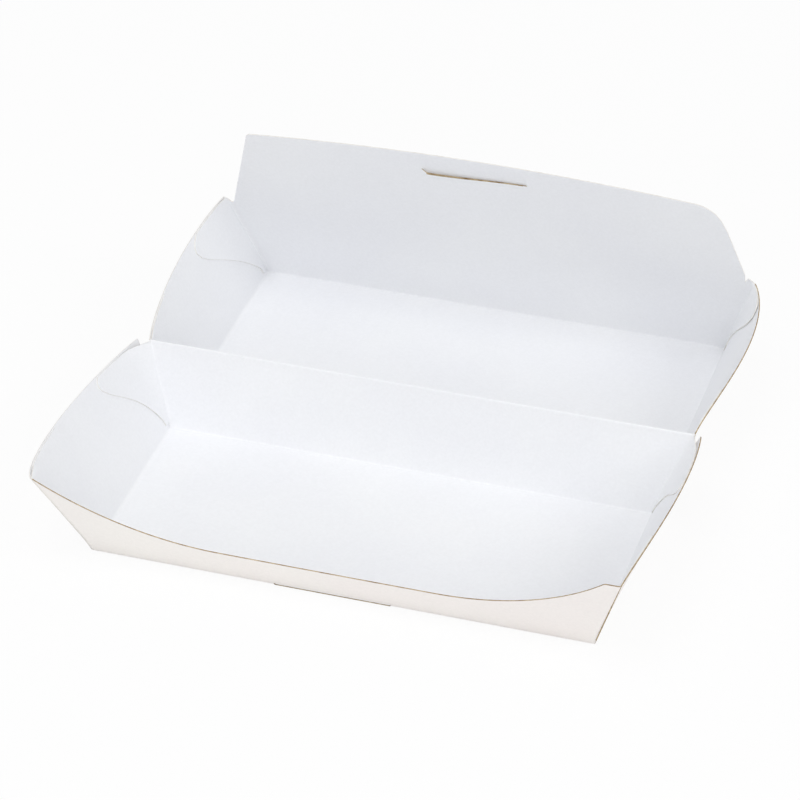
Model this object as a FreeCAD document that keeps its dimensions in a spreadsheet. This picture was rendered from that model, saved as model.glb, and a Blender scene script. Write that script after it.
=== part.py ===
# Takeout food box: a long clamshell of white coated card, lying open and flat.
#
# The card is die-cut, folded and glued into two trays that share one long fold.
# The base tray lies in front (towards -Y) and the lid tray behind it (+Y), both
# floors down, so the hinge fold stands up as a ridge between them.
# Frame: millimetres, +Z up, X along the hinge. The origin is the middle of the
# underside of the base tray's floor.
import FreeCAD, Part
import os
import sys

doc = FreeCAD.newDocument("TakeoutFoodBox")

# ---------------------------------------------------------------- driving sizes
SIZES = [
    # the card
    ("board_thickness", 0.45, "card, one layer"),
    ("fold_radius", 0.95, "outside radius of every fold"),
    ("floor_length", 200.0, "both floors, along the hinge"),
    ("end_lean", 17.7, "end walls, degrees out from upright"),
    # the hinge
    ("hinge_height", 34.0, "hinge fold above the floors"),
    ("hinge_wall_lean", 16.1, "both walls at the hinge, degrees out"),
    ("rim_clearance", 0.25, "each rim stops short of the shutting plane"),
    ("base_end_bow", 5.5, "base end walls bow out in the middle, at the hinge height"),
    ("lid_end_bow", 4.5, "lid end walls bow out in the middle, at the hinge height"),
    # the base tray
    ("base_width", 87.0, "base floor, front to back"),
    ("front_rise", 44.0, "front corners above the floor"),
    ("front_lean", 24.2, "front wall, degrees out from upright"),
    ("dip_height", 15.5, "low middle of the front rim"),
    ("dip_flat", 86.0, "straight part of the low rim"),
    ("dip_radius", 95.0, "curves from the low rim to the corners"),
    ("slit_length", 47.0, "lock slit along the front bottom fold"),
    ("slit_height", 1.6, "lock slit up the front wall"),
    ("slit_in_floor", 0.5, "lock slit into the floor"),
    ("lock_offset", -3.0, "front dip, lock slit and tongue, off the middle in X"),
    # the lid tray
    ("roof_width", 102.4, "lid floor, hinge to front"),
    ("lid_rise", 42.6, "rim corners of the lid above its floor"),
    ("panel_lean", 16.7, "lid front panel, degrees in from upright"),
    ("flap_rise", 82.2, "corners of the tuck flap above the lid floor"),
    ("flap_half_width", 99.0, "tuck flap at its free corners"),
    ("flap_crest", 5.2, "bow of the flap's free edge"),
    ("flap_corner_radius", 12.0, "rounded free corners of the flap"),
    ("notch_width", 4.0, "step from the rim corner to the flap"),
    ("tongue_width", 45.0, "tongue, along X"),
    ("tongue_length", 6.0, "tongue, root to free edge"),
    ("tongue_setback", 13.0, "tongue's free edge down from the crest"),
    ("tongue_radius", 4.0, "rounded corners of the tongue"),
    ("cut_width", 0.5, "opened die cut round the tongue"),
    # the glue flaps folded in from the long walls
    ("glue_setback", 1.2, "glue flaps stop below the rim"),
    ("base_back_reach", 34.0, "glue flap at the hinge, base tray"),
    ("base_front_reach", 46.0, "glue flap at the front, base tray"),
    ("lid_back_reach", 38.0, "glue flap at the hinge, lid tray"),
    ("lid_front_reach", 53.0, "glue flap at the front, lid tray"),
    # how far cutting shapes run past the card
    ("overrun", 6.0, "margin of every trimming shape"),
]

sheet = doc.addObject("Spreadsheet::Sheet", "Sizes")
for row, (alias, value, note) in enumerate(SIZES, start=1):
    sheet.set("A%d" % row, alias)
    sheet.set("B%d" % row, str(value))
    sheet.set("C%d" % row, note)
    sheet.setAlias("B%d" % row, alias)
doc.recompute()

# short words for the sheet's values, used in the expressions below
BT = "Sizes.board_thickness"
HALF_X = "Sizes.floor_length / 2"
HALF_Y = "Sizes.base_width / 2"
OVER = "Sizes.overrun"
HINGE_Y = "(%s + Sizes.hinge_height * tan(Sizes.hinge_wall_lean))" % HALF_Y
FRONT_Y = "(%s + Sizes.front_rise * tan(Sizes.front_lean))" % HALF_Y
ROOF_NEAR = "(%s + Sizes.hinge_height * tan(Sizes.hinge_wall_lean))" % HINGE_Y
ROOF_FAR = "(%s + Sizes.roof_width)" % ROOF_NEAR
LID_CORNER_Y = "(%s - Sizes.lid_rise * tan(Sizes.panel_lean))" % ROOF_FAR
HINGE_RIM = "(Sizes.hinge_height - Sizes.rim_clearance)"
BASE_RIM_SLOPE = "((Sizes.front_rise - Sizes.hinge_height) / (%s + %s))" % (HINGE_Y, FRONT_Y)
LID_RIM_SLOPE = "((Sizes.lid_rise - Sizes.hinge_height) / (%s - %s))" % (LID_CORNER_Y, HINGE_Y)
BASE_TOP = "(Sizes.front_rise + %s)" % OVER
LID_WALL_TOP = "(Sizes.lid_rise + %s)" % OVER
CREST_Z = "(Sizes.flap_rise + Sizes.flap_crest)"
LID_TOP = "(%s + %s)" % (CREST_Z, OVER)


def level(start, lean, height, layers):
    """Expression for a leaning face: its place at a height, moved in by layers of card."""
    return "%s + (%s) * tan(%s) - %s * %s / cos(%s)" % (start, height, lean, layers, BT, lean)


def bind(obj, names, values):
    for name, value in zip(names, values):
        obj.setExpression(name, value)
    return obj


def frustum(name, z_low, z_high, low, high):
    """Upright frustum; low and high are (x half width, y near side, y far side)."""
    obj = doc.addObject("Part::Wedge", name)
    obj.Placement = FreeCAD.Placement(FreeCAD.Vector(0, 0, 0),
                                      FreeCAD.Rotation(FreeCAD.Vector(1, 0, 0), 90))
    bind(obj, ("Ymin", "Ymax"), (z_low, z_high))
    bind(obj, ("Xmin", "Xmax"), ("-(%s)" % low[0], low[0]))
    bind(obj, ("X2min", "X2max"), ("-(%s)" % high[0], high[0]))
    bind(obj, ("Zmin", "Zmax"), ("-(%s)" % low[2], "-(%s)" % low[1]))
    bind(obj, ("Z2min", "Z2max"), ("-(%s)" % high[2], "-(%s)" % high[1]))
    return obj


def rim_prism(name, y_near, z_near, y_far, z_far, drop):
    """Everything below a straight rim line that slopes along Y."""
    obj = doc.addObject("Part::Wedge", name)
    half = "(%s + Sizes.floor_length)" % HALF_X
    bind(obj, ("Ymin", "Ymax"), (y_near, y_far))
    bind(obj, ("Xmin", "Xmax", "X2min", "X2max"), ("-" + half, half, "-" + half, half))
    bind(obj, ("Zmin", "Z2min"), ("-" + OVER, "-" + OVER))
    bind(obj, ("Zmax", "Z2max"), ("%s - %s" % (z_near, drop), "%s - %s" % (z_far, drop)))
    return obj


def box(name, x_mid, length, y_near, width, z_low, height):
    obj = doc.addObject("Part::Box", name)
    bind(obj, ("Length", "Width", "Height"), (length, width, height))
    bind(obj, ("Placement.Base.x", "Placement.Base.y", "Placement.Base.z"),
         ("%s - (%s) / 2" % (x_mid, length), y_near, z_low))
    return obj


def boolean(kind, name, first, second):
    obj = doc.addObject("Part::" + kind, name)
    obj.Base = first
    obj.Tool = second
    obj.Refine = True
    return obj


def rounded(name, base, radius, wanted):
    """Fillet of the edges that wanted() picks, all with one radius."""
    doc.recompute()
    obj = doc.addObject("Part::Fillet", name)
    obj.Base = base
    picked = [i for i, edge in enumerate(base.Shape.Edges, start=1) if wanted(edge)]
    obj.Edges = [(i, radius, radius) for i in picked]
    return obj


def size(alias):
    return float(sheet.get(alias))


def not_in_top(edge):
    top = max(v.Z for v in edge.Vertexes)
    bottom = min(v.Z for v in edge.Vertexes)
    return not (top - bottom < 1e-6 and bottom > size("hinge_height"))


def level_face(name, z, half, near, far):
    """Horizontal rectangle at one height, from -half to half in X and from near to far in Y."""
    obj = doc.addObject("Part::Plane", name)
    bind(obj, ("Length", "Width"), ("2 * (%s)" % half, "(%s) - (%s)" % (far, near)))
    bind(obj, ("Placement.Base.x", "Placement.Base.y", "Placement.Base.z"), ("-(%s)" % half, near, z))
    return obj


def bowed_face(name, z, half, near, far, bow):
    """Horizontal face like level_face, its two ends shallow arcs that bow out in the middle."""
    wide = level_face(name + "Strip", z, "%s + 2 * (%s)" % (half, bow), near, far)
    chord = "((%s) - (%s))" % (far, near)
    radius = "((%s ^ 2 / 4 + (%s) ^ 2) / (2 * (%s)))" % (chord, bow, bow)
    face = wide
    for side, sign, turn in (("Left", "-", 0), ("Right", "", 180)):
        arc = doc.addObject("Part::Cylinder", name + side + "Arc")
        arc.Placement = FreeCAD.Placement(FreeCAD.Vector(0, 0, 0),
                                          FreeCAD.Rotation(FreeCAD.Vector(0, 0, 1), turn))
        bind(arc, ("Radius", "Height"), (radius, "2 * %s" % OVER))
        bind(arc, ("Placement.Base.x", "Placement.Base.y", "Placement.Base.z"),
             ("%s(%s + %s - %s)" % (sign, half, bow, radius), "((%s) + (%s)) / 2" % (near, far),
              "%s - %s" % (z, OVER)))
        face = boolean("Common", name + side, face, arc)
    return face


def tray_body(name, z_low, z_high, bow, start_near, start_far, near_lean, far_lean, far_sign, layers):
    """Body of a tray's faces, moved in by (end, near and far) layers of card: straight edges at
    the floor, and end walls that bow out more and more towards the rim."""
    ends, near, far = layers
    planes = []
    for z in (z_low, z_high):
        x = level(HALF_X, "Sizes.end_lean", z, ends)
        y0 = "%s - (%s) * tan(%s) + %s * %s / cos(%s)" % (start_near, z, near_lean, near, BT, near_lean)
        y1 = "%s %s (%s) * tan(%s) - %s * %s / cos(%s)" % (start_far, far_sign, z, far_lean, far, BT, far_lean)
        planes.append((x, y0, y1))
    top_bow = "(%s * (%s) / Sizes.hinge_height)" % (bow, z_high)
    low = level_face(name + "Low", z_low, *planes[0])
    high = bowed_face(name + "High", z_high, *planes[1], top_bow)
    obj = doc.addObject("Part::Loft", name)
    obj.Sections = [low, high]
    obj.Solid = True
    obj.Ruled = True
    return obj


outer_radius = size("fold_radius")
inner_radius = size("fold_radius") - size("board_thickness")

# ------------------------------------------------------------------- base tray
base_faces = ("-" + HALF_Y, HALF_Y, "Sizes.front_lean", "Sizes.hinge_wall_lean", "+")
base_outer = tray_body("BaseOuter", "0", BASE_TOP, "Sizes.base_end_bow", *base_faces, (0, 0, 0))
base_inner = tray_body("BaseInner", BT, BASE_TOP, "Sizes.base_end_bow", *base_faces, (1, 1, 1))
base_outer_round = rounded("BaseOuterFolds", base_outer, outer_radius, not_in_top)
base_inner_round = rounded("BaseInnerFolds", base_inner, inner_radius, not_in_top)
base_shell = boolean("Cut", "BaseShell", base_outer_round, base_inner_round)

near = "-(%s + %s)" % (FRONT_Y, OVER)
far = "%s + %s" % (HINGE_Y, OVER)
z_near = "%s + (%s + %s + %s) * %s" % (HINGE_RIM, HINGE_Y, FRONT_Y, OVER, BASE_RIM_SLOPE)
z_far = "%s - %s * %s" % (HINGE_RIM, OVER, BASE_RIM_SLOPE)
base_rim = rim_prism("BaseRim", near, z_near, far, z_far, "0")
base_glue_rim = rim_prism("BaseGlueRim", near, z_near, far, z_far, "Sizes.glue_setback")
base_walls = boolean("Common", "BaseWalls", base_shell, base_rim)

# the front rim dips between its corners: a slab with two large rounded corners
dip_back = "(%s + Sizes.dip_height * tan(Sizes.front_lean) - 2 * %s)" % (HALF_Y, BT)
dip_box = box("FrontDipBlock", "Sizes.lock_offset", "Sizes.dip_flat + 2 * Sizes.dip_radius", near,
              "%s + %s - %s" % (FRONT_Y, OVER, dip_back), "Sizes.dip_height",
              "Sizes.dip_radius + %s" % OVER)
dip = rounded("FrontDip", dip_box, size("dip_radius"),
              lambda e: all(abs(v.Z - size("dip_height")) < 1e-6 for v in e.Vertexes)
              and abs(e.Vertexes[0].Y - e.Vertexes[-1].Y) > 1e-6)
base_dipped = boolean("Cut", "BaseDipped", base_walls, dip)

# the lock slit lies on the fold between the floor and the front wall
slit = box("LockSlit", "Sizes.lock_offset", "Sizes.slit_length",
           "-(%s + Sizes.slit_height * tan(Sizes.front_lean) + Sizes.fold_radius)" % HALF_Y,
           "Sizes.slit_height * tan(Sizes.front_lean) + Sizes.fold_radius + Sizes.slit_in_floor",
           "-" + OVER, "%s + Sizes.slit_height" % OVER)
base_slit = boolean("Cut", "BaseSlit", base_dipped, slit)

# glue flaps: a second layer of card inside each end wall
base_layer_cut = tray_body("BaseLayerInner", "0", BASE_TOP, "Sizes.base_end_bow", *base_faces, (2, 0, 0))
base_layer = boolean("Cut", "BaseLayer", base_inner_round, base_layer_cut)


def glue_prism(name, wall_low, wall_high, corner, reach, rise, sign):
    """Outline of a glue flap: its lower edge climbs from the floor corner to the rim."""
    wide = "(%s + Sizes.floor_length)" % HALF_X
    top = "(%s + %s)" % (rise, OVER)
    tip = "%s %s Sizes.%s * %s / %s" % (corner, sign, reach, top, rise)
    if sign == "-":
        return frustum(name, "0", top, (wide, "%s - %s" % (corner, BT), wall_low), (wide, tip, wall_high))
    return frustum(name, "0", top, (wide, wall_low, "%s + %s" % (corner, BT)), (wide, wall_high, tip))


back_far = "%s + %s" % (HINGE_Y, OVER)
base_glue_back = glue_prism("BaseGlueBack", back_far, back_far, HALF_Y, "base_back_reach",
                            "Sizes.hinge_height", "-")
base_glue_front = glue_prism("BaseGlueFront", near, near, "-" + HALF_Y, "base_front_reach",
                             "Sizes.front_rise", "+")
base_glue_pair = boolean("Fuse", "BaseGlueOutlines", base_glue_back, base_glue_front)
base_glue_cut = boolean("Common", "BaseGlueTrim", base_glue_pair, base_glue_rim)
base_glue = boolean("Common", "BaseGlueFlaps", base_layer, base_glue_cut)
base_tray = boolean("Fuse", "BaseTray", base_slit, base_glue)
base_tray.Label = "base_tray"

# -------------------------------------------------------------------- lid tray
lid_faces = (ROOF_NEAR, ROOF_FAR, "Sizes.hinge_wall_lean", "Sizes.panel_lean", "-")
lid_outer = tray_body("LidOuter", "0", LID_WALL_TOP, "Sizes.lid_end_bow", *lid_faces, (0, 0, 0))
lid_inner = tray_body("LidInner", BT, LID_WALL_TOP, "Sizes.lid_end_bow", *lid_faces, (1, 1, 1))
lid_outer_round = rounded("LidOuterFolds", lid_outer, outer_radius, not_in_top)
lid_inner_round = rounded("LidInnerFolds", lid_inner, inner_radius, not_in_top)
lid_shell = boolean("Cut", "LidShell", lid_outer_round, lid_inner_round)

lid_near = "%s - %s" % (HINGE_Y, OVER)
lid_far = "%s + %s" % (ROOF_FAR, OVER)
lid_z_near = "%s - %s * %s" % (HINGE_RIM, OVER, LID_RIM_SLOPE)
lid_z_far = "%s + (%s + %s - %s) * %s" % (HINGE_RIM, ROOF_FAR, OVER, HINGE_Y, LID_RIM_SLOPE)
lid_rim = rim_prism("LidRim", lid_near, lid_z_near, lid_far, lid_z_far, "0")
lid_glue_rim = rim_prism("LidGlueRim", lid_near, lid_z_near, lid_far, lid_z_far, "Sizes.glue_setback")

# outline of the front panel and tuck flap: a taper under one long shallow arc
rim_half = "(%s + Sizes.lid_rise * tan(Sizes.end_lean))" % HALF_X
notch_half = "(%s - Sizes.notch_width)" % rim_half
taper = "((%s - Sizes.flap_half_width) / (Sizes.flap_rise - Sizes.lid_rise))" % notch_half
panel_near = "%s - %s * tan(Sizes.panel_lean) - %s" % (ROOF_FAR, LID_TOP, OVER)
flap_low = ("%s + Sizes.lid_rise * %s" % (notch_half, taper), panel_near, lid_far)
flap_high = ("%s - (%s - Sizes.lid_rise) * %s" % (notch_half, LID_TOP, taper), panel_near, lid_far)
flap_taper = frustum("FlapTaper", "0", LID_TOP, flap_low, flap_high)
flap_arc = doc.addObject("Part::Cylinder", "FlapArc")
ARC = "((Sizes.flap_half_width ^ 2 + Sizes.flap_crest ^ 2) / (2 * Sizes.flap_crest))"
bind(flap_arc, ("Radius", "Height"), (ARC, "%s - (%s)" % (lid_far, panel_near)))
flap_arc.Placement = FreeCAD.Placement(FreeCAD.Vector(0, 0, 0),
                                       FreeCAD.Rotation(FreeCAD.Vector(1, 0, 0), -90))
bind(flap_arc, ("Placement.Base.y", "Placement.Base.z"), (panel_near, "%s - %s" % (CREST_Z, ARC)))
flap_bowed = boolean("Common", "FlapBowed", flap_taper, flap_arc)
flap_outline = rounded("FlapOutline", flap_bowed, size("flap_corner_radius"),
                       lambda e: min(v.Z for v in e.Vertexes) > size("lid_rise")
                       and abs(e.Vertexes[0].Y - e.Vertexes[-1].Y) > 1e-6
                       and abs(e.Vertexes[0].X - e.Vertexes[-1].X) < 1e-6)
flap_root = "(Sizes.lid_rise - Sizes.notch_width)"
slab = []
for z in (flap_root, LID_TOP):
    outside = "%s - (%s) * tan(Sizes.panel_lean)" % (ROOF_FAR, z)
    slab.append((rim_half, "%s - %s / cos(Sizes.panel_lean)" % (outside, BT), outside))
flap_slab = frustum("FlapSlab", flap_root, LID_TOP, *slab)
flap = boolean("Common", "TuckFlap", flap_slab, flap_outline)
lid_tub = boolean("Common", "LidTub", lid_shell, lid_rim)
lid_walls = boolean("Fuse", "LidWalls", lid_tub, flap)

# the tongue: a shallow rounded cut, closed towards the roof, open at its root
tongue_low = "(%s - Sizes.tongue_setback * cos(Sizes.panel_lean))" % CREST_Z
tongue_tall = "Sizes.tongue_length * cos(Sizes.panel_lean)"
cut_depth = "%s - (%s)" % (lid_far, panel_near)
cut_box = box("TongueCutBlock", "Sizes.lock_offset", "Sizes.tongue_width + 2 * Sizes.cut_width",
              panel_near, cut_depth, tongue_low, tongue_tall)
cut_keep = box("TongueBlock", "Sizes.lock_offset", "Sizes.tongue_width", panel_near, cut_depth,
               "%s + Sizes.cut_width" % tongue_low, "%s + %s" % (tongue_tall, OVER))


def lower_corner(edge):
    low = min(v.Z for v in edge.Vertexes) < size("flap_rise") + size("flap_crest") - size("tongue_setback") * 0.9
    return low and abs(edge.Vertexes[0].Y - edge.Vertexes[-1].Y) > 1e-6


cut_outer = rounded("TongueCutOuter", cut_box, size("tongue_radius") + size("cut_width"), lower_corner)
cut_inner = rounded("TongueCutInner", cut_keep, size("tongue_radius"), lower_corner)
tongue_cut = boolean("Cut", "TongueCut", cut_outer, cut_inner)
lid_cut = boolean("Cut", "LidTongue", lid_walls, tongue_cut)

lid_layer_cut = tray_body("LidLayerInner", "0", LID_WALL_TOP, "Sizes.lid_end_bow", *lid_faces, (2, 0, 0))
lid_layer = boolean("Cut", "LidLayer", lid_inner_round, lid_layer_cut)
lid_glue_back = glue_prism("LidGlueBack", lid_near, lid_near, ROOF_NEAR, "lid_back_reach",
                           "Sizes.hinge_height", "+")
lid_glue_front = glue_prism("LidGlueFront", lid_far, lid_far, ROOF_FAR, "lid_front_reach",
                            "Sizes.lid_rise", "-")
lid_glue_pair = boolean("Fuse", "LidGlueOutlines", lid_glue_back, lid_glue_front)
lid_glue_cut = boolean("Common", "LidGlueTrim", lid_glue_pair, lid_glue_rim)
lid_glue = boolean("Common", "LidGlueFlaps", lid_layer, lid_glue_cut)
lid_tray = boolean("Fuse", "LidTray", lid_cut, lid_glue)
lid_tray.Label = "lid_tray"

doc.recompute()

# ---------------------------------------------------------------------- output
problems = []
for obj in doc.Objects:
    if "Invalid" in obj.State or "Error" in obj.State:
        problems.append("%s: %s" % (obj.Name, obj.State))
for part in (base_tray, lid_tray):
    shape = part.Shape
    if shape.isNull() or not shape.isValid():
        problems.append("%s: bad shape" % part.Label)
    elif len(shape.Solids) != 1:
        problems.append("%s: %d solids" % (part.Label, len(shape.Solids)))
if problems:
    sys.exit("\n".join(problems))

os.makedirs("parts", exist_ok=True)
for part in (base_tray, lid_tray):
    part.Shape.exportStep("parts/%s.step" % part.Label)
    box_now = part.Shape.BoundBox
    print("%s volume %.1f mm3, x %.2f..%.2f y %.2f..%.2f z %.2f..%.2f, %d faces" % (
        part.Label, part.Shape.Volume, box_now.XMin, box_now.XMax, box_now.YMin, box_now.YMax,
        box_now.ZMin, box_now.ZMax, len(part.Shape.Faces)))
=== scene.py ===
"""Takeout food box, dressed for its picture: a long clamshell of coated card, open and flat.

Each tray is one creased sheet. Its panels are grids worked out in millimetres, joined along
their folds, then given rounded folds and the thickness of the card with its brown cut edge.
"""
import math

import bmesh
import bpy
import numpy as np
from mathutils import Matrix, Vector


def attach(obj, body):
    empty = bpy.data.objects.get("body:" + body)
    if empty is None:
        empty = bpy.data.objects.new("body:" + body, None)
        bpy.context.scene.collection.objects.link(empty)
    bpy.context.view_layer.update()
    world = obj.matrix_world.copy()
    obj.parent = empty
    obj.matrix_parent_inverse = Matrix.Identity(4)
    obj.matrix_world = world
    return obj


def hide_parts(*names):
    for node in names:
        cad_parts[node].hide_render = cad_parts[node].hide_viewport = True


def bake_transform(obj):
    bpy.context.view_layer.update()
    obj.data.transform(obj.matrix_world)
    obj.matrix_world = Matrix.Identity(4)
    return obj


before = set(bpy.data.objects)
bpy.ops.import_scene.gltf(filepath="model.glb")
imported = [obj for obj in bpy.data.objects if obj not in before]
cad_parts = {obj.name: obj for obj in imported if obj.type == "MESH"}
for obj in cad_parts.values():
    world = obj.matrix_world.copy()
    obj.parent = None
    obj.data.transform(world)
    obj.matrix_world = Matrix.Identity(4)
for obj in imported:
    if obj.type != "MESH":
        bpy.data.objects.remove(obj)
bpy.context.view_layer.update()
scene = bpy.context.scene
MM = 0.001

# ---------------------------------------------------------------- sizes, in mm and degrees
CARD = 0.45
HALF_FLOOR = 100.0
END_SPREAD = math.tan(math.radians(17.7))
HINGE_Y, HINGE_Z = 53.3136, 34.0
HINGE_SPREAD = math.tan(math.radians(16.1))
RIM_Z = 33.75
BASE_FRONT, BASE_BACK = -43.5, 43.5
FRONT_SPREAD = math.tan(math.radians(24.2))
FRONT_CORNER = 43.9
DIP_Z, DIP_HALF, DIP_RADIUS, DIP_MIDDLE = 15.5, 43.0, 95.0, -3.0
LID_BACK, LID_FRONT = 63.127, 165.527
PANEL_LEAN = math.radians(16.7)
PANEL_SPREAD = math.tan(PANEL_LEAN)
LID_CORNER = 42.6
NOTCH, NOTCH_DIP, NOTCH_STEP = 4.0, 2.4, 3.0
COVE, COVE_REACH = 1.1, 3.4
FLAP_HALF, FLAP_CORNER, FLAP_CREST = 99.0, 82.2, 87.3
FLAP_FLARE = 1.2
LAYER, LAYER_HEIGHT = 0.47, 7.0
FLOOR_CROWN = 0.25
FOLD_ROUNDING = 0.95
FOLD_TIPS = (0.2, 2.8)
SLIT_LEFT, SLIT_RIGHT = -0.262, 0.202
TONGUE_LEFT, TONGUE_RIGHT = -25.2, 20.6
TONGUE_LINE, TONGUE_CURL = 76.4, 3.6
TONGUE_PUSH, TONGUE_SINK = 1.4, 1.3
CREASE_LEFT, CREASE_RIGHT = -110.6, 113.2
CREASE_RADIUS, CREASE_FOOT, CREASE_CARD = 0.62, 1.1, 0.3


def ease(t):
    """0 below 0, 1 above 1, and 3t^2 - 2t^3 between."""
    t = np.clip(t, 0.0, 1.0)
    return t * t * (3.0 - 2.0 * t)


# Columns of every long panel, as a share of its half length. They crowd round the ends of the
# tongue and of the lock slit, the rounded corner and the notches of the tuck flap, and the ends.
NOTCH_SHARE = 1.0 - NOTCH / (HALF_FLOOR + LID_CORNER * END_SPREAD)
even = np.linspace(-1.0, 1.0, 81)
crowd = np.concatenate([np.linspace(SLIT_LEFT, -0.194, 28), np.linspace(0.186, SLIT_RIGHT, 7),
                        np.linspace(0.83, NOTCH_SHARE, 25), np.linspace(-NOTCH_SHARE, -0.90, 16),
                        [-0.9885, -0.9805, -0.9725, 0.9725, 0.9805, 0.9885]])
even = even[(np.abs(even[:, None] - crowd[None, :]).min(axis=1) > 0.004) | (np.abs(even) == 1.0)]
COLUMNS = np.sort(np.concatenate([even, crowd]))
ACROSS = np.concatenate([np.linspace(0.0, 0.95, 35), [0.968, 0.985, 1.0]])
BASE_RISE = np.concatenate([np.linspace(0.0, 0.87, 12), [0.915, 0.96, 1.0]])
LID_RISE = np.concatenate([[0.0, 0.045, 0.085, 0.125], np.linspace(0.18, 0.87, 10),
                           [0.915, 0.96, 1.0]])


# ---------------------------------------------------------------- panels of the sheet
def cove(distance, s):
    """Soft inside corner: how far a point beside a fold is drawn inwards,
    COVE x exp(-(distance / COVE_REACH)^1.4), fading out within 6 percent of the ends."""
    return COVE * np.exp(-(distance / COVE_REACH) ** 1.4) * ease((1.0 - np.abs(s)) / 0.06)


def floor_panel(near, far, crown, soft=0.0):
    """Flat floor from near to far; its middle is crowned by crown x (1 - s^2) x 4w(1 - w), and
    its far edge is drawn inwards and up by soft times the cove."""
    s, w = np.meshgrid(COLUMNS, ACROSS)
    z = crown * (1.0 - s ** 2) * 4.0 * w * (1.0 - w)
    drawn = soft * cove((far - near) * (1.0 - w), s)
    return np.stack([HALF_FLOOR * s, near + (far - near) * w - drawn, z + drawn], axis=-1)


def long_wall(rows, start, side, spread, top, flare, bow):
    """Leaning long wall. Each column is a straight line from the floor's edge to the rim at top(x);
    x grows with height by the spread of the ends, plus a flare near the rim, one for each end, and
    the wall bows by bow x (1 - s^2) x v(2 - v), which is nothing at its folds."""
    s = COLUMNS
    rim = np.full_like(s, 30.0)
    for _ in range(12):
        rim = top(s * (HALF_FLOOR + rim * END_SPREAD))
    h = rows[:, None] * rim[None, :]
    inset = LAYER * ease(h / LAYER_HEIGHT)
    tips = np.where(s < 0.0, flare[0], flare[1])[None, :]
    half = HALF_FLOOR + h * END_SPREAD + tips * (h / HINGE_Z) ** 1.6 - inset
    x = s[None, :] * half
    v = rows[:, None]
    y = start + side * (h * spread + bow * (1.0 - s[None, :] ** 2) * v * (2.0 - v))
    return np.stack([x, y, h], axis=-1)


def front_rim(x):
    """Height of the base's front rim: a straight low middle, then two large arcs up to the
    corners."""
    out = np.clip(np.abs(x - DIP_MIDDLE) - DIP_HALF, 0.0, DIP_RADIUS - 0.5)
    return np.minimum(DIP_Z + DIP_RADIUS - np.sqrt(DIP_RADIUS ** 2 - out ** 2), FRONT_CORNER)


def hinge_rim(x):
    """Height of both back walls where they meet at the hinge fold: level."""
    return np.full_like(x, RIM_Z)


def end_surface(hand, w, v, ends, belly, skew, first, last):
    """Outside of an end wall at w along it, from its corner of lower y to the other, and v up it.
    ends holds (floor y, rim y, rim z) at w = 0 and at w = 1. The rim stands out by
    belly x (4p(1 - p))^0.85 + first x (1 - w) + last x w, with p = w^skew, growing up the wall
    as v^1.4."""
    (fy0, ry0, rz0), (fy1, ry1, rz1) = ends
    floor_y = fy0 + (fy1 - fy0) * w
    rim_y = ry0 + (ry1 - ry0) * w
    z = v * (rz0 + (rz1 - rz0) * w)
    p = np.clip(w, 0.0, 1.0) ** skew
    out = (belly * (4.0 * p * (1.0 - p)) ** 0.85 + first * (1.0 - w) + last * w) * v ** 1.4
    x = hand * (HALF_FLOOR + z * END_SPREAD + out)
    return np.stack([x, floor_y + (rim_y - floor_y) * v, z], axis=-1)


def end_wall(rows, hand, ends, **bend):
    """End wall on the w, v grid, its two side edges drawn in a little from the corner folds."""
    w, v = np.meshgrid(ACROSS, rows)
    shy = 0.0035 * ease(v * 6.0)
    return end_surface(hand, w * (1.0 - 2.0 * shy) + shy, v, ends, **bend)


def glue_flap(rows, hand, fold, ends, far_corner, reach, loose=0.0, **bend):
    """Second layer inside an end wall, from one row above the floor. Rows climb the corner fold;
    across each row it runs from the fold, where it meets the long wall, to its free edge, whose
    distance from the fold is reach(v). Its offset from the wall fades in from the fold as
    1 - exp(-u / 0.045), and its free edge stands off by loose x v^2."""
    rows = rows[1:]
    share = np.array([0.0, 0.27, 0.42, 0.57, 0.71, 0.85, 0.95, 1.0])
    u = share[None, :] * reach(rows)[:, None]
    v = rows[:, None] * (1.0 - 0.006 * ease(share[None, :] * 3.0))
    w = 1.0 - u if far_corner else u
    sheet = end_surface(hand, w, v, ends, **bend)
    sheet[..., 0] -= hand * (LAYER + loose * v ** 2 * share[None, :] ** 3)
    held = np.exp(-u / 0.045)[..., None]
    edge = sheet[:, :1, :]
    sheet += (fold[1:, None, :] - edge) * held
    return sheet


def lid_front_panel():
    """Lower part of the lid's front, from the floor to the height where the tuck flap begins.
    Every column is straight above the cove; the panel leans in towards the hinge. Beside the flap
    its top edge dips on the left by NOTCH_DIP x sin(pi t), t across the notch; on the right it
    steps up by up to NOTCH_STEP and slopes down to the corner."""
    v = LID_RISE[:, None]
    s = COLUMNS[None, :]
    across_notch = np.clip((np.abs(s) - NOTCH_SHARE) / (1.0 - NOTCH_SHARE), 0.0, 1.0)
    right_rise = NOTCH_STEP * (1.0 - across_notch) * ease(across_notch / 0.22)
    dip = np.where(s < 0.0, NOTCH_DIP * np.sin(math.pi * across_notch), -right_rise)
    h = v * LID_CORNER - dip * ease((v - 0.8) / 0.2)
    inset = LAYER * ease(h / LAYER_HEIGHT)
    x = s * (HALF_FLOOR + h * END_SPREAD - inset)
    drawn = cove(h, s)
    y = LID_FRONT - h * PANEL_SPREAD - drawn
    return np.stack([x, y, h + drawn * np.exp(-h / 3.0)], axis=-1)


def flap_top(x):
    """Height of the flap's free edge, as z: one long shallow arc, its right-hand corner rounded
    by 12 mm and its left-hand corner by 2.5 mm."""
    arc = FLAP_CORNER + (FLAP_CREST - FLAP_CORNER) * (1.0 - (x / FLAP_HALF) ** 2)
    for hand, radius, side in ((1.0, 12.0, 101.6), (-1.0, 2.5, 99.7)):
        into = np.clip(hand * x - (side - radius), 0.0, radius)
        arc = arc - (radius - np.sqrt(np.maximum(radius ** 2 - into ** 2, 0.0)))
    return arc


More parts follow.
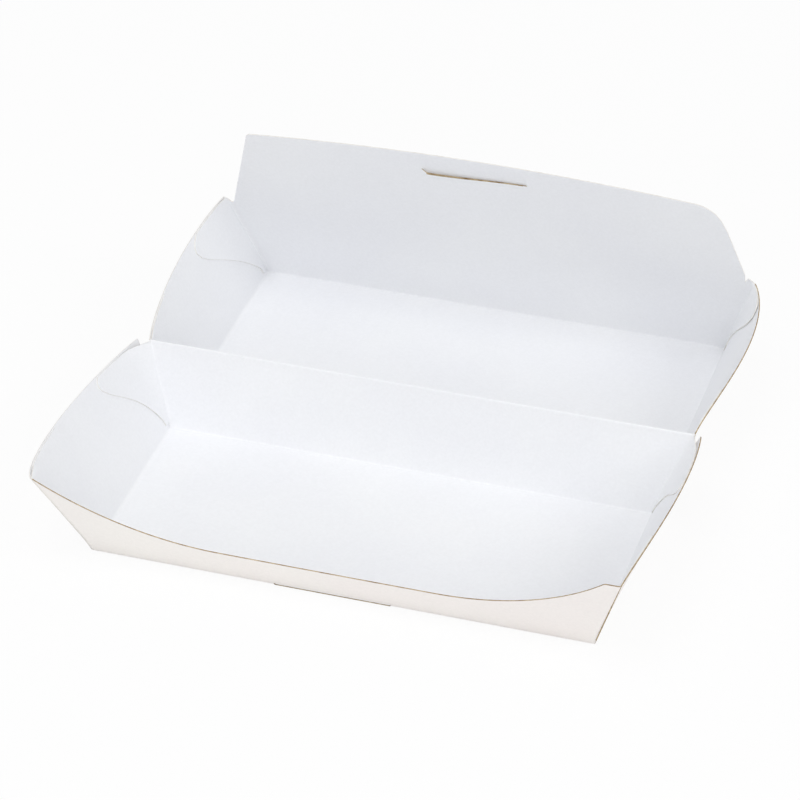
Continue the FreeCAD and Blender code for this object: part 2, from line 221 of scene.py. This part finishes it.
def cut_line(x, top):
    """Row of the flap that carries the tongue's cut, as z: it rises by 1.5 mm along the tongue,
    its left end curls up by TONGUE_CURL, and it keeps below the rounded corners beyond."""
    line = TONGUE_LINE + 1.5 * ease((x + 22.0) / 42.0)
    curl = np.where(x > TONGUE_LEFT, 1.0 - ease((x - TONGUE_LEFT) / 3.4) ** 0.5,
                    ease((x + 37.0) / 11.8))
    line = line + TONGUE_CURL * np.where(x < -21.8, curl, 0.0)
    return np.minimum(line, 0.90 * top)


def tuck_flap():
    """Upper part of the lid's front: the tuck flap below and above the line of the tongue's cut.
    Above the cut, the tongue's free edge is pushed off the panel towards the outside by
    (1 - distance / 8)^2 of TONGUE_PUSH, less to the right, and sinks by up to TONGUE_SINK behind
    the sheet below it. The last strip below the cut, whose inside is brown as frayed fibres and as
    painted shade of the gap at the cut, narrows to 30 percent towards the right."""
    s = COLUMNS[np.abs(COLUMNS) <= NOTCH_SHARE + 1e-9]
    share = s / NOTCH_SHARE
    notch_half = (HALF_FLOOR + LID_CORNER * END_SPREAD - LAYER) * NOTCH_SHARE

    def half(z):
        """Half width at height z; the right-hand side starts with a short flare."""
        up = (z - LID_CORNER) / (FLAP_CORNER - LID_CORNER)
        flare = FLAP_FLARE * ease((z - LID_CORNER) / 4.0) * np.clip(1.0 - up, 0.0, 1.0)
        return notch_half + (FLAP_HALF - notch_half) * up + flare * ease(share / 0.9)

    top = np.full_like(s, FLAP_CORNER)
    cut = np.full_like(s, 76.0)
    for _ in range(12):
        top = flap_top(share * half(top))
        cut = cut_line(share * half(cut), top)
    at_cut = share * half(cut)
    low_rows = np.concatenate([np.linspace(0.0, 0.93, 11), [0.978, 1.0]])[:, None]
    high_rows = np.linspace(0.0, 1.0, 9)[:, None] ** 1.2
    low = LID_CORNER + low_rows * (cut - LID_CORNER)[None, :]
    low[-2] = cut - (cut - low[-2]) * (1.0 - 0.7 * ease((at_cut + 22.6) / 40.0))
    high = cut[None, :] + high_rows * (top - cut)[None, :]
    opened = ease((at_cut - TONGUE_LEFT) / 3.0) * ease((TONGUE_RIGHT - at_cut) / 1.6)
    away = (high - cut[None, :]) / math.cos(PANEL_LEAN)
    lift = TONGUE_PUSH * opened * (1.15 - 0.014 * (at_cut + 25.0))
    push = lift * np.clip(1.0 - away / 8.0, 0.0, 1.0) ** 2
    sink = TONGUE_SINK * opened * np.clip(1.0 - away / 6.0, 0.0, 1.0)
    sheets = []
    for z, off in ((low, 0.0), (high - sink, push)):
        x = share[None, :] * half(z)
        y = LID_FRONT - z * PANEL_SPREAD + off * math.cos(PANEL_LEAN)
        sheets.append(np.stack([x, y, z + off * math.sin(PANEL_LEAN)], axis=-1))
    return sheets


# ---------------------------------------------------------------- from grids to a sheet of card
# Cells of the frayed kind have a brown inside face: partly frayed fibres, partly painted shade of the
# gap at the tongue's cut.
BROWN, PALE, FRAYED_AND_GAP_SHADE, OPEN = 0, 3, 6, -1


def join_grids(name, grids):
    """One mesh from (grid, outward direction, edge kind) sets, quads between neighbouring points,
    turned so that they face outward, with the points that panels share along a fold merged.
    The edge kind, one number or one per cell, picks three finishes in a row: outside, inside and
    cut edge. A cell whose kind is OPEN is left out."""
    points, quads, kinds, start = [], [], [], 0
    for grid, outward, kind in grids:
        rows, cols = grid.shape[:2]
        index = np.arange(rows * cols).reshape(rows, cols) + start
        cells = np.stack([index[:-1, :-1], index[:-1, 1:], index[1:, 1:], index[1:, :-1]], axis=-1)
        across = grid[:-1, 1:] - grid[:-1, :-1]
        along = grid[1:, :-1] - grid[:-1, :-1]
        facing = np.cross(across, along).reshape(-1, 3).sum(axis=0) @ np.asarray(outward, float)
        if facing < 0.0:
            cells = cells[..., ::-1]
        kind = np.broadcast_to(kind, cells.shape[:2]).reshape(-1)
        points.append(grid.reshape(-1, 3) * MM)
        quads.append(cells.reshape(-1, 4)[kind != OPEN])
        kinds.append(kind[kind != OPEN])
        start += rows * cols
    mesh = bpy.data.meshes.new(name)
    mesh.from_pydata(np.concatenate(points), [], np.concatenate(quads))
    mesh.polygons.foreach_set("material_index", np.concatenate(kinds).astype(np.int32))
    work = bmesh.new()
    work.from_mesh(mesh)
    bmesh.ops.remove_doubles(work, verts=work.verts, dist=0.00002)
    bmesh.ops.dissolve_degenerate(work, edges=work.edges, dist=0.000005)
    for edge in work.edges:
        edge.smooth = not edge.is_boundary
    work.to_mesh(mesh)
    work.free()
    mesh.shade_smooth()
    mesh.update()
    obj = bpy.data.objects.new(name, mesh)
    scene.collection.objects.link(obj)
    return obj


def thicken(obj, thickness):
    """Thicken a sheet inwards: outside, inside and cut edge take three finishes in a row."""
    wall = obj.modifiers.new("card", "SOLIDIFY")
    wall.thickness = thickness * MM
    wall.offset = -1.0
    wall.material_offset = 1
    wall.material_offset_rim = 2
    return wall


def give_thickness(obj):
    """Round the folds of a tray, then thicken it; the finishes follow the order of the edge kinds."""
    # The last three finishes serve the strip below the tongue's cut: its inside is brown, partly
    # frayed fibres and partly painted shade of the gap at the cut.
    for finish in (OUTSIDE, INSIDE, CUT_EDGE, OUTSIDE, INSIDE, PALE_EDGE,
                   OUTSIDE, CUT_EDGE, CUT_EDGE):
        obj.data.materials.append(finish)
    fold = obj.modifiers.new("rounded folds", "BEVEL")
    fold.width = FOLD_ROUNDING * MM
    fold.segments = 4
    fold.limit_method = "ANGLE"
    fold.angle_limit = math.radians(28.0)
    fold.use_clamp_overlap = False
    thicken(obj, CARD).use_even_offset = True
    return obj


# ---------------------------------------------------------------- finishes
def principled(name):
    mat = bpy.data.materials.new(name)
    mat.use_nodes = True
    return mat, mat.node_tree.nodes, mat.node_tree.links, mat.node_tree.nodes["Principled BSDF"]


def noise_texture(nodes, links, place, scale, detail):
    """Noise of this scale and detail, laid on in Object coordinates."""
    tex = nodes.new("ShaderNodeTexNoise")
    tex.inputs["Scale"].default_value = scale
    tex.inputs["Detail"].default_value = detail
    links.new(place.outputs["Object"], tex.inputs["Vector"])
    return tex


def spread_out(nodes, links, tex, low, high, to_low, to_high):
    """A noise's values from low to high, spread over to_low to to_high."""
    spread = nodes.new("ShaderNodeMapRange")
    spread.inputs["From Min"].default_value = low
    spread.inputs["From Max"].default_value = high
    spread.inputs["To Min"].default_value = to_low
    spread.inputs["To Max"].default_value = to_high
    links.new(tex.outputs["Fac"], spread.inputs["Value"])
    return spread


def srgb(r, g, b):
    """Linear colour of an 8-bit screen colour."""
    c = np.array([r, g, b]) / 255.0
    c = np.where(c <= 0.04045, c / 12.92, ((c + 0.055) / 1.055) ** 2.4)
    return tuple(c) + (1.0,)


def card_finish(name, light, shade, roughness, specular, grain_size, grain_depth):
    """Paper surface: one slow clouding between two near whites, fine fibre flecks in the colour,
    and a fine bump of short fibres."""
    mat, nodes, links, shader = principled(name)
    place = nodes.new("ShaderNodeTexCoord")
    slow = noise_texture(nodes, links, place, 16.0, 3.0)
    fleck = noise_texture(nodes, links, place, 900.0, 4.0)
    fibre = noise_texture(nodes, links, place, grain_size, 6.0)
    fibre.inputs["Roughness"].default_value = 0.65
    cloud = spread_out(nodes, links, slow, 0.35, 0.65, 0.0, 1.0)
    base = nodes.new("ShaderNodeMix")
    base.data_type = "RGBA"
    base.inputs["A"].default_value = light
    base.inputs["B"].default_value = shade
    links.new(cloud.outputs["Result"], base.inputs["Factor"])
    spots = spread_out(nodes, links, fleck, 0.30, 0.70, 0.965, 1.0)
    tone = nodes.new("ShaderNodeMix")
    tone.data_type = "RGBA"
    tone.blend_type = "MULTIPLY"
    tone.inputs["Factor"].default_value = 1.0
    links.new(base.outputs["Result"], tone.inputs["A"])
    links.new(spots.outputs["Result"], tone.inputs["B"])
    links.new(tone.outputs["Result"], shader.inputs["Base Color"])
    bump = nodes.new("ShaderNodeBump")
    bump.inputs["Strength"].default_value = 0.35
    bump.inputs["Distance"].default_value = grain_depth
    links.new(fibre.outputs["Fac"], bump.inputs["Height"])
    links.new(bump.outputs["Normal"], shader.inputs["Normal"])
    shader.inputs["Roughness"].default_value = roughness
    shader.inputs["Specular IOR Level"].default_value = specular
    return mat


def edge_finish(name, dark, light):
    """Raw cut of the card: a fine noise runs between a dark and a light tone along the edge."""
    mat, nodes, links, shader = principled(name)
    place = nodes.new("ShaderNodeTexCoord")
    layers = noise_texture(nodes, links, place, 420.0, 5.0)
    ramp = nodes.new("ShaderNodeValToRGB")
    ramp.color_ramp.elements[0].position = 0.30
    ramp.color_ramp.elements[0].color = dark
    ramp.color_ramp.elements[1].position = 0.70
    ramp.color_ramp.elements[1].color = light
    links.new(layers.outputs["Fac"], ramp.inputs["Fac"])
    links.new(ramp.outputs["Color"], shader.inputs["Base Color"])
    shader.inputs["Roughness"].default_value = 0.9
    shader.inputs["Specular IOR Level"].default_value = 0.2
    return mat


INSIDE = card_finish("coated inside of the card", srgb(245, 246, 248), srgb(242, 243, 246),
                     0.42, 0.35, 2600.0, 0.00004)
OUTSIDE = card_finish("outside of the card", srgb(253, 250, 246), srgb(251, 246, 243), 0.6, 0.25,
                      1900.0, 0.00006)
CUT_EDGE = edge_finish("brown cut edge", srgb(138, 114, 80), srgb(196, 178, 146))
PALE_EDGE = edge_finish("pale cut edge", srgb(228, 225, 219), srgb(243, 241, 237))

# ---------------------------------------------------------------- base tray
BASE_LEFT = dict(belly=6.4, skew=0.75, first=1.5, last=5.2)
BASE_RIGHT = dict(belly=3.2, skew=1.5, first=0.0, last=5.0)
BASE_ENDS = ((BASE_FRONT, BASE_FRONT - FRONT_CORNER * FRONT_SPREAD, FRONT_CORNER),
             (BASE_BACK, BASE_BACK + RIM_Z * HINGE_SPREAD, RIM_Z))
base_front_wall = long_wall(BASE_RISE, BASE_FRONT, -1.0, FRONT_SPREAD, front_rim, (1.3, 0.3), 0.4)
base_back_wall = long_wall(BASE_RISE, BASE_BACK, 1.0, HINGE_SPREAD, hinge_rim, FOLD_TIPS, 0.0)


def with_lock_slit(grid):
    """Edge kind of each cell of the front wall: brown, and open along the lock slit, just above
    the fold."""
    kinds = np.full((grid.shape[0] - 1, grid.shape[1] - 1), BROWN)
    middle = 0.5 * (COLUMNS[1:] + COLUMNS[:-1])
    kinds[0, (middle > SLIT_LEFT) & (middle < SLIT_RIGHT)] = OPEN
    return kinds


def reach_of(heights, shares):
    """Smooth outline of a glue flap: the fifth-power curve nearest to these shares at these heights,
    never under 0.04."""
    curve = np.polyfit(heights, shares, 5)
    return lambda v: np.maximum(np.polyval(curve, v), 0.04)


def end_panels(rise, hand, ends, bend, near_wall, near_reach, far_wall, far_reach, loose=0.0):
    """One end of a tray: its wall, then the two glue flaps folded in from the long walls at w = 0
    and w = 1. The left-hand end wall has a pale rim, the right-hand one a brown rim."""
    outward = (hand, 0, 0)
    side, rim = (0, PALE) if hand < 0 else (-1, BROWN)
    near = glue_flap(rise, hand, near_wall[:, side], ends, False, near_reach, **bend)
    far = glue_flap(rise, hand, far_wall[:, side], ends, True, far_reach, loose, **bend)
    return [(end_wall(rise, hand, ends, **bend), outward, rim), (near, outward, PALE),
            (far, outward, PALE)]


BASE_FRONT_REACH = reach_of((0, 0.1, 0.25, 0.45, 0.65, 0.82, 0.92, 1.0),
                            (0.03, 0.07, 0.13, 0.21, 0.29, 0.35, 0.37, 0.33))
BASE_BACK_REACH = reach_of((0, 0.1, 0.25, 0.4, 0.6, 0.8, 0.92, 1.0),
                           (0.03, 0.04, 0.075, 0.12, 0.20, 0.29, 0.33, 0.30))
base_panels = [(floor_panel(BASE_FRONT, BASE_BACK, FLOOR_CROWN), (0, 0, -1), BROWN),
               (base_front_wall, (0, -1, 0), with_lock_slit(base_front_wall)),
               (base_back_wall, (0, 1, 0), PALE)]
for hand, bend in ((-1.0, BASE_LEFT), (1.0, BASE_RIGHT)):
    base_panels += end_panels(BASE_RISE, hand, BASE_ENDS, bend, base_front_wall, BASE_FRONT_REACH,
                              base_back_wall, BASE_BACK_REACH)
base_card = give_thickness(join_grids("base_card", base_panels))
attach(base_card, "base")
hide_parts("base_tray")

# ---------------------------------------------------------------- lid tray
def by_the_tongue(grid, row):
    """Edge kind of each cell of a flap grid: pale, brown beside the tongue's cut, and, on the inside
    of the last row below it, brown as frayed fibres and as painted shade of the gap at the cut."""
    x = grid[:-1, :-1, 0]
    kinds = np.full(x.shape, PALE)
    kinds[row, (x[row] > -24.6) & (x[row] < 19.8)] = BROWN
    if row < 0:
        # Painted shade: this brown strip also stands in for the shade of the gap at the tongue's cut.
        kinds[row, (x[row] > -22.6) & (x[row] < 17.5)] = FRAYED_AND_GAP_SHADE
    return kinds


LID_LEFT = dict(belly=5.0, skew=1.0, first=0.3, last=0.3)
LID_RIGHT = dict(belly=7.3, skew=1.6, first=2.5, last=-0.3)
LID_ENDS = ((LID_BACK, LID_BACK - RIM_Z * HINGE_SPREAD, RIM_Z),
            (LID_FRONT, LID_FRONT - LID_CORNER * PANEL_SPREAD, LID_CORNER))
lid_back_wall = long_wall(LID_RISE, LID_BACK, -1.0, HINGE_SPREAD, hinge_rim, FOLD_TIPS, 0.0)
lid_front = lid_front_panel()
flap_low, flap_high = tuck_flap()
LID_BACK_REACH = reach_of((0, 0.1, 0.25, 0.4, 0.6, 0.8, 0.92, 1.0),
                          (0.03, 0.05, 0.09, 0.14, 0.22, 0.30, 0.33, 0.30))
FRONT_HEIGHTS = (0, 0.07, 0.245, 0.375, 0.57, 0.81, 0.875, 0.955, 1.0)
FRONT_SHARES = np.array([0.02, 0.03, 0.085, 0.135, 0.235, 0.345, 0.353, 0.325, 0.28])
lid_panels = [(floor_panel(LID_BACK, LID_FRONT, FLOOR_CROWN, 1.0), (0, 0, -1), PALE),
              (lid_back_wall, (0, -1, 0), PALE), (lid_front, (0, 1, 0), PALE),
              (flap_low, (0, 1, 0), by_the_tongue(flap_low, -1)),
              (flap_high, (0, 1, 0), by_the_tongue(flap_high, 0))]
# The right-hand front flap shows narrower than the left-hand one and stands a little loose.
for hand, bend, wide, loose in ((-1.0, LID_LEFT, 1.0, 0.0), (1.0, LID_RIGHT, 0.52, 0.4)):
    lid_panels += end_panels(LID_RISE, hand, LID_ENDS, bend, lid_back_wall, LID_BACK_REACH,
                             lid_front, reach_of(FRONT_HEIGHTS, wide * FRONT_SHARES), loose)
lid_card = give_thickness(join_grids("lid_card", lid_panels))
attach(lid_card, "lid")
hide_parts("lid_tray")


# ---------------------------------------------------------------- crease between the trays
def hinge_crease():
    """Rounded crest of the hinge fold: a circular arch over the two rims with a short straight
    foot down each wall, swept along the fold."""
    lean = math.atan(HINGE_SPREAD)
    turn = np.linspace(-math.pi / 2 + lean, math.pi / 2 - lean, 11)
    arch = np.stack([CREASE_RADIUS * np.sin(turn), CREASE_RADIUS * np.cos(turn)], axis=-1)
    foot_near = arch[0] + np.array([-math.sin(lean), -math.cos(lean)]) * CREASE_FOOT
    foot_far = arch[-1] + np.array([math.sin(lean), -math.cos(lean)]) * CREASE_FOOT
    profile = np.concatenate([[foot_near], arch, [foot_far]]) + np.array([HINGE_Y, RIM_Z - 0.12])
    x = np.linspace(CREASE_LEFT, CREASE_RIGHT, 91)
    grid = np.empty((len(profile), len(x), 3))
    grid[..., 0] = x[None, :]
    grid[..., 1] = profile[:, :1]
    grid[..., 2] = profile[:, 1:]
    return grid


crease = join_grids("hinge_crease", [(hinge_crease(), (0, 0, 1), BROWN)])
for finish in (INSIDE, OUTSIDE, CUT_EDGE):
    crease.data.materials.append(finish)
thicken(crease, CREASE_CARD)
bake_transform(crease)


# ---------------------------------------------------------------- camera, light and floor
def add_camera():
    """The camera looks down at the open box from its front right-hand side."""
    az, el = math.radians(17.24), math.radians(34.30)
    away = Vector((math.sin(az) * math.cos(el), -math.cos(az) * math.cos(el), math.sin(el)))
    data = bpy.data.cameras.new("camera")
    data.lens = 186.8
    data.sensor_width = 36.0
    data.clip_end = 20.0
    cam = bpy.data.objects.new("camera", data)
    scene.collection.objects.link(cam)
    cam.location = Vector((-0.0234, 0.1089, -0.0136)) + 1.7078 * away
    cam.rotation_euler = (-away).to_track_quat("-Z", "Y").to_euler()
    scene.camera = cam


def add_soft_light(name, place, aim, width, power):
    data = bpy.data.lights.new(name, "AREA")
    data.shape = "DISK"
    data.size = width
    data.energy = power
    lamp = bpy.data.objects.new(name, data)
    lamp.location = place
    lamp.rotation_euler = (Vector(aim) - Vector(place)).to_track_quat("-Z", "Y").to_euler()
    scene.collection.objects.link(lamp)


def add_floor():
    """Plain pale floor: to the camera nine tenths of it is plain white, and the rest takes the
    light and the shadow."""
    mesh = bpy.data.meshes.new("studio_floor")
    mesh.from_pydata([(-6, -6, 0), (6, -6, 0), (6, 6, 0), (-6, 6, 0)], [], [(0, 1, 2, 3)])
    obj = bpy.data.objects.new("studio_floor", mesh)
    scene.collection.objects.link(obj)
    mat = bpy.data.materials.new("studio floor")
    mat.use_nodes = True
    nodes, links = mat.node_tree.nodes, mat.node_tree.links
    nodes.clear()
    out = nodes.new("ShaderNodeOutputMaterial")
    matt = nodes.new("ShaderNodeBsdfDiffuse")
    matt.inputs["Color"].default_value = (0.9, 0.9, 0.9, 1)
    glow = nodes.new("ShaderNodeEmission")
    path = nodes.new("ShaderNodeLightPath")
    share = nodes.new("ShaderNodeMath")
    share.operation = "MULTIPLY"
    share.inputs[1].default_value = 0.9
    mix = nodes.new("ShaderNodeMixShader")
    links.new(path.outputs["Is Camera Ray"], share.inputs[0])
    links.new(share.outputs[0], mix.inputs["Fac"])
    links.new(matt.outputs["BSDF"], mix.inputs[1])
    links.new(glow.outputs["Emission"], mix.inputs[2])
    links.new(mix.outputs["Shader"], out.inputs["Surface"])
    obj.data.materials.append(mat)


def add_world():
    world = bpy.data.worlds.new("studio")
    world.use_nodes = True
    nodes, links = world.node_tree.nodes, world.node_tree.links
    back = nodes["Background"]
    back.inputs["Color"].default_value = (0.993, 0.995, 1.0, 1)
    back.inputs["Strength"].default_value = 0.58
    white = nodes.new("ShaderNodeBackground")
    path = nodes.new("ShaderNodeLightPath")
    mix = nodes.new("ShaderNodeMixShader")
    links.new(path.outputs["Is Camera Ray"], mix.inputs["Fac"])
    links.new(back.outputs["Background"], mix.inputs[1])
    links.new(white.outputs["Background"], mix.inputs[2])
    links.new(mix.outputs["Shader"], nodes["World Output"].inputs["Surface"])
    scene.world = world


add_camera()
add_soft_light("high soft light", (-0.35, -0.55, 1.6), (0, 0.05, 0), 1.2, 9.2)
add_soft_light("side fill", (1.55, -0.2, 1.15), (0, 0.05, 0), 1.0, 6.6)
add_soft_light("front fill", (0.3, -1.7, 0.68), (0, 0.05, 0), 0.8, 4.4)
add_floor()
add_world()
scene.view_settings.view_transform = "Standard"
